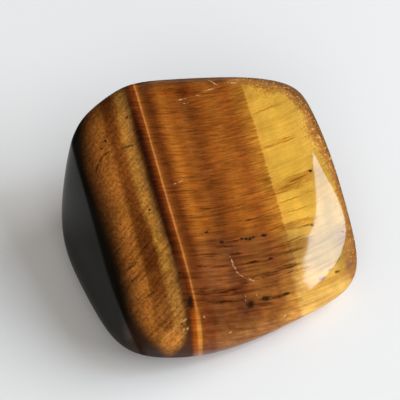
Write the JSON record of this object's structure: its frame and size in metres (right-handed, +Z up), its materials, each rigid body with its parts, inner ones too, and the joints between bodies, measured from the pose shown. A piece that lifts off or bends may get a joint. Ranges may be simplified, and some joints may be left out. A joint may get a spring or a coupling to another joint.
{
  "type": "tumbled tiger's eye stone",
  "caption": "Large tumbled and polished stone, a rounded wedge with broad worn faces, in silky golden brown bands; it lies on its flattest side.",
  "frame": {"origin": "on the resting face's plane, under the middle of the stone's box", "axes": "+Z up from the face that the stone rests on, through its smallest extent; +X to the stone's right and -Y to its front, where the long orange line meets the front rim"},
  "size_m": [0.04, 0.0386, 0.021],
  "materials": {
    "polished_tigers_eye": "tumbled and polished"
  },
  "bodies": {
    "root": {"tigers_eye": "polished_tigers_eye"}
  },
  "joints": []
}
